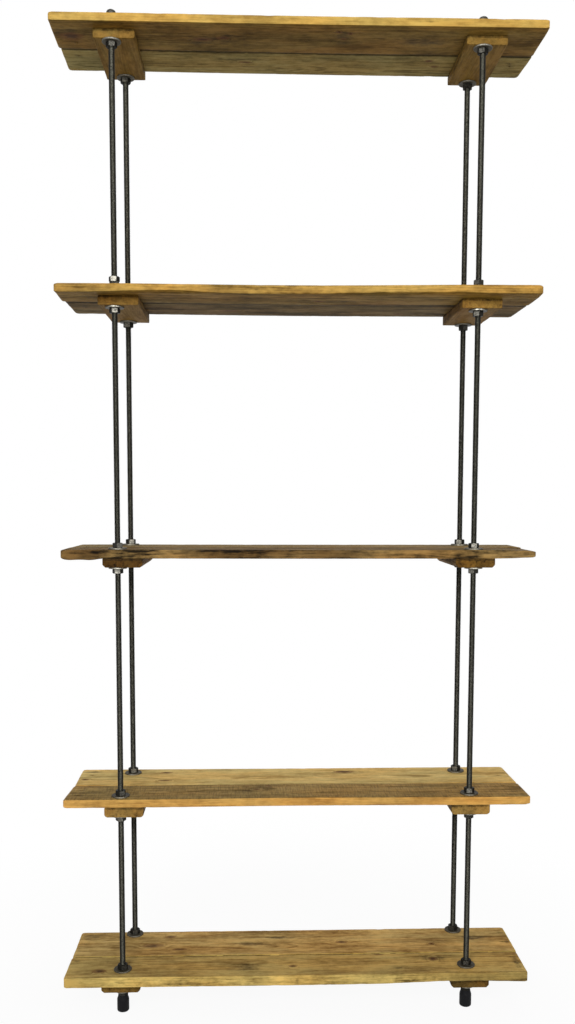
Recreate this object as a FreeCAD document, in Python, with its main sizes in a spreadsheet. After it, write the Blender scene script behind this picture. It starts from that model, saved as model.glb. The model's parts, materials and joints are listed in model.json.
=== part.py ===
import FreeCAD, Part
import os
import Sketcher
from FreeCAD import Vector

# Free-standing shelving unit on four threaded rods. Each shelf is two softwood planks laid side by side
# on two cross cleats, and it is clamped on every rod between a nut with a penny washer above the planks
# and a penny washer with a nut below the cleat. Domed cap nuts finish the rods, rubber feet carry them.
#
# Frame: millimetres, +Z up, front towards -Y, origin on the floor at the middle of the outline seen
# from above. Shelves are numbered from the floor up.

doc = FreeCAD.newDocument("threaded_rod_shelving_unit")
sheet = doc.addObject("Spreadsheet::Sheet", "sizes")

# ---------------------------------------------------------------------------------------------------
# Driving sizes
# ---------------------------------------------------------------------------------------------------

COMMON_SIZES = [
    # name, value, what it is
    ("rod_diameter", 12, "M12 threaded rod, outside the thread"),
    ("rod_end_chamfer", 1.2, "lead-in at both ends of a rod"),
    ("rod_span_across", 724, "between the axes of the left and right rods of a row"),
    ("rod_span_deep", 170, "between the axes of the front and rear rods"),
    ("rod_stagger", 6, "rear rods further to the right than the front rods"),
    ("rod_set_back", 14.5, "rods' middle plane behind the middle of the outline"),
    ("rod_hole_clearance", 1, "hole in a board over the rod's diameter"),
    ("thread_clearance", 0.1, "bore of a nut over the rod's diameter"),
    ("nut_flats", 19, "hex nut across flats"),
    ("nut_height", 10, "hex nut"),
    ("washer_diameter", 37, "penny washer"),
    ("washer_thickness", 3, "penny washer"),
    ("washer_hole_clearance", 1, "washer's hole over the rod's diameter"),
    ("cap_nut_height", 22, "domed cap nut, over all"),
    ("cap_nut_dome_diameter", 17, "domed cap nut"),
    ("cap_nut_bore_depth", 16, "domed cap nut's blind bore"),
    ("cap_nut_engagement", 15, "length of rod inside a cap nut"),
    ("foot_diameter", 25, "rubber foot"),
    ("foot_neck_diameter", 20.5, "rubber foot's top"),
    ("foot_height", 35, "rubber foot"),
    ("foot_shoulder_height", 24, "where the foot starts to draw in"),
    ("foot_sole_thickness", 5, "rubber under the rod's end"),
    ("foot_tread_chamfer", 3, "eased edge round the foot's tread"),
    ("board_arris", 1.5, "eased long edges of planks and cleats"),
    ("plank_seam", 1.5, "gap between the two planks of a shelf"),
    ("cleat_width", 81, "cleats, left to right"),
    ("shelf_2_rise", 372, "top of shelf 2 above the top of shelf 1"),
    ("shelf_3_rise", 510, "top of shelf 3 above the top of shelf 2"),
    ("shelf_4_rise", 515, "top of shelf 4 above the top of shelf 3"),
    ("shelf_5_rise", 502, "top of shelf 5 above the top of shelf 4"),
]

# One row per size, one value per shelf, lowest first. Reaches are measured from the rods' axes: those of
# its own row for a plank's ends, the front rod's for a cleat's side.
SHELF_SIZES = [
    # name, shelf 1 to shelf 5, what it is
    ("plank_thickness", (21.5, 17, 17.5, 16.5, 15.5), "both planks of a shelf"),
    ("cleat_thickness", (18.5, 21, 18.5, 18.5, 17.5), "both cleats under a shelf"),
    ("front_reach", (36, 26, 24, 62, 44), "shelf's front edge before the front rods"),
    ("rear_reach", (12, 33, 28, 18, 15), "shelf's rear edge behind the rear rods"),
    ("front_plank_width", (95, 102, 108, 118, 125), "the rear plank fills the rest of the depth"),
    ("front_plank_left_reach", (117.5, 110, 109, 107.5, 111.5), "front plank's end beyond the left rods"),
    ("front_plank_right_reach", (123.5, 123, 123.5, 113, 117), "front plank's end beyond the right rods"),
    ("rear_plank_left_reach", (121, 114.5, 115, 115, 119), "rear plank's end beyond the left rods"),
    ("rear_plank_right_reach", (117.5, 115, 117.5, 110, 109.5), "rear plank's end beyond the right rods"),
    ("cleat_front_reach", (22, 24, 22, 22, 14), "cleats' front ends before the front rods"),
    ("cleat_rear_reach", (11, 30, 26, 17, 15), "cleats' rear ends behind the rear rods"),
    ("left_cleat_outer_reach", (42.5, 31.5, 28.5, 31, 34.5), "left cleat's outer side beyond the rod"),
    ("right_cleat_outer_reach", (45.5, 39.5, 40.5, 44.5, 46.5), "right cleat's outer side beyond the rod"),
]
SHELVES = [1, 2, 3, 4, 5]
LOWEST, HIGHEST = SHELVES[0], SHELVES[-1]

# Every hex nut stops at its own angle: each next one is turned on by this many degrees.
NUT_TURN_STEP = 23

# Where a second nut is jammed on the first, at the front of the shelf that reaches furthest forward.
JAMMED = [(4, "upper", "front")]


def add_size(alias, value, note):
    """Put one driving size in the sheet: its note, its number and its alias."""
    add_size.row += 1
    cell = "B%d" % add_size.row
    sheet.set("A%d" % add_size.row, note)
    sheet.set(cell, str(value))
    sheet.setAlias(cell, alias)


add_size.row = 0
for alias, value, note in COMMON_SIZES:
    add_size(alias, value, note)
for name, values, note in SHELF_SIZES:
    for number, value in zip(SHELVES, values):
        add_size("shelf_%d_%s" % (number, name), value, note)
doc.recompute()


# ---------------------------------------------------------------------------------------------------
# Expressions that several pieces share
# ---------------------------------------------------------------------------------------------------

def common(name):
    return "sizes." + name


def shelf(number, name):
    return "sizes.shelf_%d_%s" % (number, name)


def plus(*terms):
    return "(" + " + ".join(terms) + ")"


def minus(first, *rest):
    return "(" + " - ".join((first,) + rest) + ")"


def half(term):
    return "%s / 2" % term


ROD_HOLE = plus(common("rod_diameter"), common("rod_hole_clearance"))
WASHER_HOLE = plus(common("rod_diameter"), common("washer_hole_clearance"))
NUT_BORE = plus(common("rod_diameter"), common("thread_clearance"))
FASTENER_STACK = plus(common("nut_height"), common("washer_thickness"))

HALF_ACROSS, HALF_DEEP = half(common("rod_span_across")), half(common("rod_span_deep"))
HALF_STAGGER = half(common("rod_stagger"))
ROD_X = {("front", "left"): "(-%s - %s)" % (HALF_ACROSS, HALF_STAGGER),
         ("front", "right"): minus(HALF_ACROSS, HALF_STAGGER),
         ("rear", "left"): "(-%s + %s)" % (HALF_ACROSS, HALF_STAGGER),
         ("rear", "right"): plus(HALF_ACROSS, HALF_STAGGER)}
ROD_Y = {"front": minus(common("rod_set_back"), HALF_DEEP), "rear": plus(common("rod_set_back"), HALF_DEEP)}
CORNERS = list(ROD_X)


def shelf_top(number):
    """Height of a shelf's upper face: the lowest shelf's stack on the feet, then the rises."""
    terms = [common("foot_height"), FASTENER_STACK,
             shelf(LOWEST, "cleat_thickness"), shelf(LOWEST, "plank_thickness")]
    terms += [shelf(n, "rise") for n in SHELVES if LOWEST < n <= number]
    return plus(*terms)


def plank_bottom(number):
    return minus(shelf_top(number), shelf(number, "plank_thickness"))


def cleat_bottom(number):
    return minus(plank_bottom(number), shelf(number, "cleat_thickness"))


ROD_TOP = plus(shelf_top(HIGHEST), common("washer_thickness"), common("cap_nut_engagement"))
ROD_LENGTH = minus(ROD_TOP, common("foot_sole_thickness"))

# ---------------------------------------------------------------------------------------------------
# Sketch and feature helpers
# ---------------------------------------------------------------------------------------------------

ORIGIN = (-1, 1)


def bind(obj, **expressions):
    for prop, expression in expressions.items():
        obj.setExpression(prop.replace("__", "."), expression)


def place(obj, x, y, z, turn=None):
    bind(obj, Placement__Base__x=x, Placement__Base__y=y, Placement__Base__z=z)
    if turn is not None:
        obj.Placement.Rotation = FreeCAD.Rotation(Vector(0, 0, 1), turn)


def new_body(label):
    body = doc.addObject("PartDesign::Body", label)
    body.Label = label
    return body


def new_sketch(body, name, plane="XY_Plane"):
    sketch = body.newObject("Sketcher::SketchObject", body.Name + "_" + name)
    plane_feature = next(f for f in body.Origin.OriginFeatures if f.Role == plane)
    sketch.AttachmentSupport = [(plane_feature, "")]
    sketch.MapMode = "FlatFace"
    return sketch


def set_distance(sketch, name, kind, refs, value, expression):
    """Add a dimension, name it and bind it to an expression."""
    index = sketch.addConstraint(Sketcher.Constraint(kind, *refs, value))
    sketch.renameConstraint(index, name)
    sketch.setExpression("Constraints." + name, expression)


def put_on_vertical_axis(sketch, geometry, point):
    sketch.addConstraint(Sketcher.Constraint("PointOnObject", geometry, point, -2))


def sketch_circle(sketch, name, diameter, x=None, y=None, start=(0, 0), start_diameter=10):
    """A circle of bound diameter, on the origin or at a bound distance from both axes."""
    outline = Part.Circle(Vector(start[0], start[1], 0), Vector(0, 0, 1), start_diameter / 2)
    circle = sketch.addGeometry(outline)
    set_distance(sketch, name + "_diameter", "Diameter", (circle,), start_diameter, diameter)
    if x is None:
        sketch.addConstraint(Sketcher.Constraint("Coincident", circle, 3, *ORIGIN))
    else:
        set_distance(sketch, name + "_x", "DistanceX", (*ORIGIN, circle, 3), start[0], x)
        set_distance(sketch, name + "_y", "DistanceY", (*ORIGIN, circle, 3), start[1], y)
    return circle


def sketch_rectangle(sketch, length, width, start_length, start_width):
    """A rectangle from the origin along +X and +Y."""
    corners = [Vector(0, 0, 0), Vector(start_length, 0, 0),
               Vector(start_length, start_width, 0), Vector(0, start_width, 0)]
    lines = [sketch.addGeometry(Part.LineSegment(corners[i], corners[(i + 1) % 4])) for i in range(4)]
    for i in range(4):
        sketch.addConstraint(Sketcher.Constraint("Coincident", lines[i], 2, lines[(i + 1) % 4], 1))
        sketch.addConstraint(Sketcher.Constraint("Horizontal" if i % 2 == 0 else "Vertical", lines[i]))
    sketch.addConstraint(Sketcher.Constraint("Coincident", lines[0], 1, *ORIGIN))
    set_distance(sketch, "length", "DistanceX", (lines[0], 1, lines[0], 2), start_length, length)
    set_distance(sketch, "width", "DistanceY", (lines[1], 1, lines[1], 2), start_width, width)


def add_pad(body, sketch, length):
    pad = body.newObject("PartDesign::Pad", sketch.Name + "_pad")
    pad.Profile = sketch
    bind(pad, Length=length)
    sketch.Visibility = False
    return pad


def add_through_pocket(body, sketch):
    """Cut a sketch on the base plane up through the whole body."""
    pocket = body.newObject("PartDesign::Pocket", sketch.Name + "_pocket")
    pocket.Profile = sketch
    pocket.Type = "ThroughAll"
    pocket.Reversed = True
    return pocket


def edge_names(shape, wanted):
    return ["Edge%d" % (i + 1) for i, edge in enumerate(shape.Edges) if wanted(edge)]


def chamfer_edges(body, base, names, size):
    chamfer = body.newObject("PartDesign::Chamfer", base.Name + "_chamfer")
    chamfer.Base = (base, names)
    bind(chamfer, Size=size)


def placed_copy(label, form, x, y, z, turn=None):
    """One piece: a standard form seated at its own place."""
    piece = doc.addObject("Part::Compound", label)
    piece.Links = [form]
    piece.Label = label
    place(piece, x, y, z, turn)
    return piece


# ---------------------------------------------------------------------------------------------------
# Boards
# ---------------------------------------------------------------------------------------------------

def make_board(label, left, front, bottom, length, width, thickness, holes):
    """A sawn board with eased long arrises and rod holes.

    left, front and bottom place its lower front left corner; length runs along X, width along Y.
    holes are (x, y) from that corner.
    """
    body = new_body(label)
    outline = new_sketch(body, "outline")
    sketch_rectangle(outline, length, width, 200, 100)
    slab = add_pad(body, outline, thickness)
    doc.recompute()
    box = slab.Shape.BoundBox
    along = Vector(1, 0, 0) if box.XLength > box.YLength else Vector(0, 1, 0)
    arrises = edge_names(slab.Shape, lambda edge: abs(edge.tangentAt(edge.FirstParameter).dot(along)) > 0.99)
    chamfer_edges(body, slab, arrises, common("board_arris"))
    drilling = new_sketch(body, "holes")
    for index, (x, y) in enumerate(holes):
        sketch_circle(drilling, "hole_%d" % index, ROD_HOLE, x, y, start=(30 + 60 * index, 40))
    add_through_pocket(body, drilling)
    place(body, left, front, bottom)
    return body


def make_plank(number, row):
    """The front or rear plank of a shelf, drilled for the two rods of its row."""
    left_reach = shelf(number, row + "_plank_left_reach")
    right_reach = shelf(number, row + "_plank_right_reach")
    front_edge = minus(ROD_Y["front"], shelf(number, "front_reach"))
    if row == "front":
        front = front_edge
        width = shelf(number, "front_plank_width")
    else:
        front = plus(front_edge, shelf(number, "front_plank_width"), common("plank_seam"))
        width = minus(plus(ROD_Y["rear"], shelf(number, "rear_reach")), front)
    rod_in_width = minus(ROD_Y[row], front)
    return make_board(
        "shelf_%d_%s_plank" % (number, row),
        minus(ROD_X[row, "left"], left_reach), front, plank_bottom(number),
        plus(left_reach, common("rod_span_across"), right_reach), width, shelf(number, "plank_thickness"),
        [(left_reach, rod_in_width), (plus(left_reach, common("rod_span_across")), rod_in_width)])


def make_cleat(number, side):
    """The left or right cleat under a shelf, drilled for the front and rear rods of its side."""
    outer_reach = shelf(number, side + "_cleat_outer_reach")
    front_reach = shelf(number, "cleat_front_reach")
    if side == "left":
        rod_in_width = outer_reach
    else:
        rod_in_width = minus(common("cleat_width"), outer_reach)
    length = plus(front_reach, common("rod_span_deep"), shelf(number, "cleat_rear_reach"))
    return make_board(
        "shelf_%d_%s_cleat" % (number, side),
        minus(ROD_X["front", side], rod_in_width), minus(ROD_Y["front"], front_reach), cleat_bottom(number),
        common("cleat_width"), length, shelf(number, "cleat_thickness"),
        [(rod_in_width, front_reach),
         (plus(rod_in_width, common("rod_stagger")), plus(front_reach, common("rod_span_deep")))])


# ---------------------------------------------------------------------------------------------------
# Standard forms, each made once at the origin with its foot on z = 0
# ---------------------------------------------------------------------------------------------------

def is_on_floor(edge):
    """Whether an edge is a full circle at height 0."""
    return isinstance(edge.Curve, Part.Circle) and edge.isClosed() and abs(edge.Curve.Center.z) < 0.01


def make_rod_form():
    """A threaded rod as its plain outer cylinder, with a lead-in chamfer at both ends."""
    body = new_body("rod_form")
    section = new_sketch(body, "section")
    sketch_circle(section, "rod", common("rod_diameter"))
    shaft = add_pad(body, section, ROD_LENGTH)
    doc.recompute()
    rims = edge_names(shaft.Shape, lambda edge: isinstance(edge.Curve, Part.Circle))
    chamfer_edges(body, shaft, rims, common("rod_end_chamfer"))
    return body


def make_washer_form():
    body = new_body("washer_form")
    section = new_sketch(body, "section")
    sketch_circle(section, "rim", common("washer_diameter"), start_diameter=30)
    sketch_circle(section, "hole", WASHER_HOLE, start_diameter=12)
    add_pad(body, section, common("washer_thickness"))
    return body


def sketch_hexagon(sketch, flats):
    """A regular hexagon with two corners on the X axis, bound across its flats."""
    start = 10.0
    corners = []
    for i in range(6):
        turn = FreeCAD.Rotation(Vector(0, 0, 1), 60 * i)
        corners.append(turn.multVec(Vector(start, 0, 0)))
    lines = [sketch.addGeometry(Part.LineSegment(corners[i], corners[(i + 1) % 6])) for i in range(6)]
    guide = sketch.addGeometry(Part.Circle(Vector(0, 0, 0), Vector(0, 0, 1), start), True)
    sketch.addConstraint(Sketcher.Constraint("Coincident", guide, 3, *ORIGIN))
    for i in range(6):
        sketch.addConstraint(Sketcher.Constraint("Coincident", lines[i], 2, lines[(i + 1) % 6], 1))
        sketch.addConstraint(Sketcher.Constraint("PointOnObject", lines[i], 1, guide))
    for i in range(5):
        sketch.addConstraint(Sketcher.Constraint("Equal", lines[i], lines[i + 1]))
    sketch.addConstraint(Sketcher.Constraint("Horizontal", lines[1]))
    set_distance(sketch, "flats", "DistanceY", (lines[4], 1, lines[1], 1), start * 3 ** 0.5, flats)


def make_nut_form():
    """A plain hex nut with its bore as a smooth running fit on the rod."""
    body = new_body("nut_form")
    section = new_sketch(body, "section")
    sketch_hexagon(section, common("nut_flats"))
    add_pad(body, section, common("nut_height"))
    bore = new_sketch(body, "bore")
    sketch_circle(bore, "bore", NUT_BORE)
    add_through_pocket(body, bore)
    return body


def make_cap_nut_form():
    """A domed cap nut: hexagon, then a cylinder under a half ball, with a blind bore."""
    body = new_body("cap_nut_form")
    section = new_sketch(body, "section")
    sketch_hexagon(section, common("nut_flats"))
    add_pad(body, section, common("nut_height"))

    dome = new_sketch(body, "dome", "XZ_Plane")
    foot, shoulder, crown = Vector(8.5, 9, 0), Vector(8.5, 13.5, 0), Vector(0, 22, 0)
    base = dome.addGeometry(Part.LineSegment(Vector(0, 9, 0), foot))
    wall = dome.addGeometry(Part.LineSegment(foot, shoulder))
    quarter_circle = Part.ArcOfCircle(Part.Circle(Vector(0, 13.5, 0), Vector(0, 0, 1), 8.5), 0, 1.5708)
    ball = dome.addGeometry(quarter_circle)
    axis = dome.addGeometry(Part.LineSegment(crown, Vector(0, 9, 0)))
    dome.addConstraint(Sketcher.Constraint("Coincident", base, 2, wall, 1))
    dome.addConstraint(Sketcher.Constraint("Coincident", wall, 2, ball, 1))
    dome.addConstraint(Sketcher.Constraint("Coincident", ball, 2, axis, 1))
    dome.addConstraint(Sketcher.Constraint("Coincident", axis, 2, base, 1))
    dome.addConstraint(Sketcher.Constraint("Horizontal", base))
    dome.addConstraint(Sketcher.Constraint("Vertical", wall))
    for geometry, point in ((axis, 1), (axis, 2), (ball, 3)):
        put_on_vertical_axis(dome, geometry, point)
    dome.addConstraint(Sketcher.Constraint("Horizontal", ball, 3, ball, 1))
    set_distance(dome, "radius", "Radius", (ball,), 8.5, half(common("cap_nut_dome_diameter")))
    set_distance(dome, "crown", "DistanceY", (*ORIGIN, axis, 1), 22, common("cap_nut_height"))
    set_distance(dome, "base", "DistanceY", (*ORIGIN, base, 1), 9, half(common("nut_height")))
    turned = body.newObject("PartDesign::Revolution", "cap_nut_dome")
    turned.Profile = dome
    turned.ReferenceAxis = (dome, ["V_Axis"])
    turned.Angle = 360

    bore = new_sketch(body, "bore")
    sketch_circle(bore, "bore", NUT_BORE)
    drilled = body.newObject("PartDesign::Pocket", "cap_nut_bore_pocket")
    drilled.Profile = bore
    drilled.Reversed = True
    bind(drilled, Length=common("cap_nut_bore_depth"))
    return body


def make_foot_form():
    """A rubber ferrule: an eased tread, straight sides, drawn-in shoulders and a blind rod socket."""
    body = new_body("foot_form")
    profile = new_sketch(body, "profile", "XZ_Plane")
    points = [Vector(0, 0, 0), Vector(12, 0, 0), Vector(12, 24, 0), Vector(10, 35, 0), Vector(0, 35, 0)]
    count = len(points)
    lines = [profile.addGeometry(Part.LineSegment(points[i], points[(i + 1) % count])) for i in range(count)]
    tread, side, shoulder, top, axis = lines
    for i in range(count):
        profile.addConstraint(Sketcher.Constraint("Coincident", lines[i], 2, lines[(i + 1) % count], 1))
    profile.addConstraint(Sketcher.Constraint("Coincident", tread, 1, *ORIGIN))
    profile.addConstraint(Sketcher.Constraint("Horizontal", tread))
    profile.addConstraint(Sketcher.Constraint("Vertical", side))
    profile.addConstraint(Sketcher.Constraint("Horizontal", top))
    profile.addConstraint(Sketcher.Constraint("Vertical", axis))
    set_distance(profile, "radius", "DistanceX", (tread, 1, tread, 2), 12, half(common("foot_diameter")))
    set_distance(profile, "shoulder", "DistanceY", (side, 1, side, 2), 24, common("foot_shoulder_height"))
    neck_radius = half(common("foot_neck_diameter"))
    set_distance(profile, "neck", "DistanceX", (axis, 1, shoulder, 2), 10, neck_radius)
    set_distance(profile, "top", "DistanceY", (*ORIGIN, axis, 1), 35, common("foot_height"))
    turned = body.newObject("PartDesign::Revolution", "foot_turned")
    turned.Profile = profile
    turned.ReferenceAxis = (profile, ["V_Axis"])
    turned.Angle = 360
    doc.recompute()
    tread_rims = edge_names(turned.Shape, is_on_floor)
    chamfer_edges(body, turned, tread_rims, common("foot_tread_chamfer"))

    socket = new_sketch(body, "socket")
    bind(socket, AttachmentOffset__Base__z=common("foot_height"))
    sketch_circle(socket, "socket", common("rod_diameter"))
    pressed = body.newObject("PartDesign::Pocket", "foot_socket_pocket")
    pressed.Profile = socket
    bind(pressed, Length=minus(common("foot_height"), common("foot_sole_thickness")))
    return body


# ---------------------------------------------------------------------------------------------------
# Assembly
# ---------------------------------------------------------------------------------------------------

parts = {}


def keep(piece, solids=1):
    """Hand a piece over to the file writer, with the number of solids that it must have."""
    parts[piece.Label] = (piece, solids)
    return piece


def group(label, pieces):
    """Identical small pieces that share one file."""
    bundle = doc.addObject("Part::Compound", label)
    bundle.Links = pieces
    bundle.Label = label
    return bundle


rod_form = make_rod_form()
washer_form = make_washer_form()
nut_form = make_nut_form()
cap_nut_form = make_cap_nut_form()
foot_form = make_foot_form()
doc.recompute()

feet = []
for row, side in CORNERS:
    keep(placed_copy("rod_%s_%s" % (row, side), rod_form, ROD_X[row, side], ROD_Y[row],
                     common("foot_sole_thickness")))
    feet.append(placed_copy("foot_%s_%s" % (row, side), foot_form, ROD_X[row, side], ROD_Y[row], "0"))
keep(group("feet", feet), len(feet))


def washer_levels(number):
    return {"upper": shelf_top(number), "lower": minus(cleat_bottom(number), common("washer_thickness"))}


def nut_levels(number):
    return {"upper": plus(shelf_top(number), common("washer_thickness")),
            "lower": minus(cleat_bottom(number), FASTENER_STACK)}


def make_nuts(number, level, row, side, height, turn):
    """The nut of one rod at one level of a shelf: plain, jammed by a second one, or a cap nut on top."""
    label = "shelf_%d_nut_%s_%s_%s" % (number, level, row, side)
    x, y = ROD_X[row, side], ROD_Y[row]
    if number == HIGHEST and level == "upper":
        return placed_copy(label, cap_nut_form, x, y, height, turn), 1
    if (number, level, row) in JAMMED:
        inner = placed_copy(label + "_inner", nut_form, x, y, height, turn)
        above = plus(height, common("nut_height"))
        outer = placed_copy(label + "_outer", nut_form, x, y, above, turn + NUT_TURN_STEP)
        return group(label, [inner, outer]), 2
    return placed_copy(label, nut_form, x, y, height, turn), 1


nut_turn = 0
for number in SHELVES:
    for row in ("front", "rear"):
        keep(make_plank(number, row))
    for side in ("left", "right"):
        keep(make_cleat(number, side))

    washers = []
    for level, height in washer_levels(number).items():
        for row, side in CORNERS:
            washers.append(placed_copy("shelf_%d_washer_%s_%s_%s" % (number, level, row, side),
                                       washer_form, ROD_X[row, side], ROD_Y[row], height))
    keep(group("shelf_%d_washers" % number, washers), len(washers))

    nuts = []
    cap_nuts = []
    for level, height in nut_levels(number).items():
        for row, side in CORNERS:
            nut_turn = (nut_turn + NUT_TURN_STEP) % 60
            nut, solids = make_nuts(number, level, row, side, height, nut_turn)
            if number not in (LOWEST, HIGHEST):
                # This nut is wound along its rod, to raise or lower the shelf that it clamps.
                keep(nut, solids)
            elif number == HIGHEST and level == "upper":
                cap_nuts.append(nut)
            else:
                nuts.append(nut)
    if nuts:
        keep(group("shelf_%d_nuts" % number, nuts), len(nuts))
    if cap_nuts:
        keep(group("cap_nuts", cap_nuts), len(cap_nuts))

# ---------------------------------------------------------------------------------------------------
# Check and write
# ---------------------------------------------------------------------------------------------------

doc.recompute()
for obj in doc.Objects:
    if "Invalid" in obj.State or "Error" in obj.State:
        raise RuntimeError("%s did not recompute: %s" % (obj.Label, obj.State))
for label, (piece, solids) in parts.items():
    if piece.Shape.isNull() or not piece.Shape.isValid():
        raise RuntimeError("%s has no valid shape" % label)
    if len(piece.Shape.Solids) != solids:
        raise RuntimeError("%s has %d solids, not %d" % (label, len(piece.Shape.Solids), solids))

os.makedirs("parts", exist_ok=True)
for label, (piece, solids) in parts.items():
    piece.Shape.exportStep("parts/%s.step" % label)

print("%d parts, rod length %.1f mm" % (len(parts), rod_form.Shape.BoundBox.ZLength))
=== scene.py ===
import json
import math
from functools import partial

import bmesh
import bpy
import numpy as np
from mathutils import Matrix, Vector, noise

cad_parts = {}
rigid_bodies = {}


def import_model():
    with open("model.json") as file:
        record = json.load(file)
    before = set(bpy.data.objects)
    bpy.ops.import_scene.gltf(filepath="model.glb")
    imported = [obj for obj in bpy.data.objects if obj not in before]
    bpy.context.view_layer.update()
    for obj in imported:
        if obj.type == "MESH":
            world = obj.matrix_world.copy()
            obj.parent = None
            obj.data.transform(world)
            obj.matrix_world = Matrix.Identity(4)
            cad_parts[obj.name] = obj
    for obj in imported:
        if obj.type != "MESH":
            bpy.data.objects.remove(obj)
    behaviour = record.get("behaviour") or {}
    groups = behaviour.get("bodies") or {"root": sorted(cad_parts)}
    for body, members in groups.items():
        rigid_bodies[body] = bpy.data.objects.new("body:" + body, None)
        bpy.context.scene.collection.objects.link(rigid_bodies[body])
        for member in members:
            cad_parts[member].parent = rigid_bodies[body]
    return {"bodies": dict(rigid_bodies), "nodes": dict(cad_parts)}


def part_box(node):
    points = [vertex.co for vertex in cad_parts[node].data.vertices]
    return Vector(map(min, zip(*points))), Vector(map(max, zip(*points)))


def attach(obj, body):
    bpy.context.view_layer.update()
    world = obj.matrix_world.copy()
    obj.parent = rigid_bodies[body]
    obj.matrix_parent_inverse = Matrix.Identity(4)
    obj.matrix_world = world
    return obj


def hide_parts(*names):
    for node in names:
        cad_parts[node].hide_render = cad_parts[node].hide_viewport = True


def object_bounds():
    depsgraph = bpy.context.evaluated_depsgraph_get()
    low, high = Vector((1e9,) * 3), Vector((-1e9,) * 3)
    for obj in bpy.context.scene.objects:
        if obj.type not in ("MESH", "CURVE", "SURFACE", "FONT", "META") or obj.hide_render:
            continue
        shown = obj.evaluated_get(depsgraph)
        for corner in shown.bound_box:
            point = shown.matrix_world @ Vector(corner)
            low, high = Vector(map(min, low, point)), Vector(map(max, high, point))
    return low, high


bl_info = {
    "name": "Threaded-Rod Shelving Unit",
    "version": (1, 0, 0),
    "blender": (4, 5, 0),
    "location": "View3D > Sidebar > Shelving",
    "description": "Dresses a shelving unit of reclaimed planks clamped on threaded rods",
    "category": "Object",
}

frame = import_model()
CAD_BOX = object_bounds()

MM = 0.001
SHELVES = (1, 2, 3, 4, 5)
ADJUSTABLE = (2, 3, 4)
ROWS = ("front", "rear")
SIDES = ("left", "right")
FIXED_BODY = "uprights"


def hex_colour(code):
    """sRGB hex to the linear colour that shader sockets take."""
    channels = [int(code[i:i + 2], 16) / 255 for i in (1, 3, 5)]
    return tuple(c / 12.92 if c <= 0.04045 else ((c + 0.055) / 1.055) ** 2.4 for c in channels)


def rgba(colour):
    """A linear colour with the opaque alpha that a colour socket needs."""
    return (*colour[:3], 1.0)


# ---------------------------------------------------------------------------------------------------
# Places taken from the frame
# ---------------------------------------------------------------------------------------------------

def rod_axis(row, side):
    """The x and y of a rod's axis."""
    low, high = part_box("rod_%s_%s" % (row, side))
    return (low.x + high.x) / 2, (low.y + high.y) / 2


CORNERS = [(row, side) for row in ROWS for side in SIDES]
ROD_AXES = {corner: rod_axis(*corner) for corner in CORNERS}


def body_of_shelf(number):
    """The CAD body that carries a shelf: its own if it can be set at another height."""
    return "shelf_%d" % number if number in ADJUSTABLE else FIXED_BODY


# ---------------------------------------------------------------------------------------------------
# Sizes and colours that can be changed
# ---------------------------------------------------------------------------------------------------

class HardwareSizes(bpy.types.PropertyGroup):
    thread_pitch: bpy.props.FloatProperty(
        name="Thread pitch", description="Rise of one turn of the rods' coarse thread",
        default=1.75 * MM, unit="LENGTH", precision=5)
    thread_depth: bpy.props.FloatProperty(
        name="Thread depth", description="From the thread's crest to its root",
        default=1.07 * MM, unit="LENGTH", precision=5)
    nut_flats: bpy.props.FloatProperty(
        name="Nut flats", description="Hex nut across its flats",
        default=19 * MM, unit="LENGTH", precision=4)
    nut_chamfer: bpy.props.FloatProperty(
        name="Nut chamfer", description="Slope of the turned chamfer on a nut's corners",
        default=math.radians(30), unit="ROTATION")
    washer_edge: bpy.props.FloatProperty(
        name="Washer edge", description="Rounding that the stamping press leaves on a washer's rim",
        default=0.7 * MM, unit="LENGTH", precision=5)
    foot_rounding: bpy.props.FloatProperty(
        name="Foot rounding", description="Rounding round a rubber foot's tread",
        default=3 * MM, unit="LENGTH", precision=4)


class BoardSizes(bpy.types.PropertyGroup):
    grid: bpy.props.FloatProperty(
        name="Grid", description="Spacing of the points that carry a board's wear and marks",
        default=4.5 * MM, unit="LENGTH", precision=4)
    arris: bpy.props.FloatProperty(
        name="Arris", description="Rounding of a board's worn edges",
        default=1.6 * MM, unit="LENGTH", precision=4)
    nail_hole: bpy.props.FloatProperty(
        name="Nail hole", description="Diameter of the holes that drawn nails left",
        default=3.6 * MM, unit="LENGTH", precision=4)
    rod_hole: bpy.props.FloatProperty(
        name="Rod hole", description="Diameter of the drilled holes for the rods",
        default=13 * MM, unit="LENGTH", precision=4)


class Finishes(bpy.types.PropertyGroup):
    rod_steel: bpy.props.FloatVectorProperty(
        name="Rod steel", description="Plain steel of the threaded rods",
        default=hex_colour("#6A695F"), subtype="COLOR")
    nut_steel: bpy.props.FloatVectorProperty(
        name="Nut steel", description="Plain steel of the nuts",
        default=hex_colour("#63615A"), subtype="COLOR")
    washer_steel: bpy.props.FloatVectorProperty(
        name="Washer steel", description="Zinc plating of the washers",
        default=hex_colour("#9A978C"), subtype="COLOR")
    rubber: bpy.props.FloatVectorProperty(
        name="Rubber", description="Moulded rubber of the feet",
        default=hex_colour("#121214"), subtype="COLOR")
    floor: bpy.props.FloatVectorProperty(
        name="Floor", description="Plain pale floor under the unit",
        default=hex_colour("#DADAD8"), subtype="COLOR")


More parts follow.
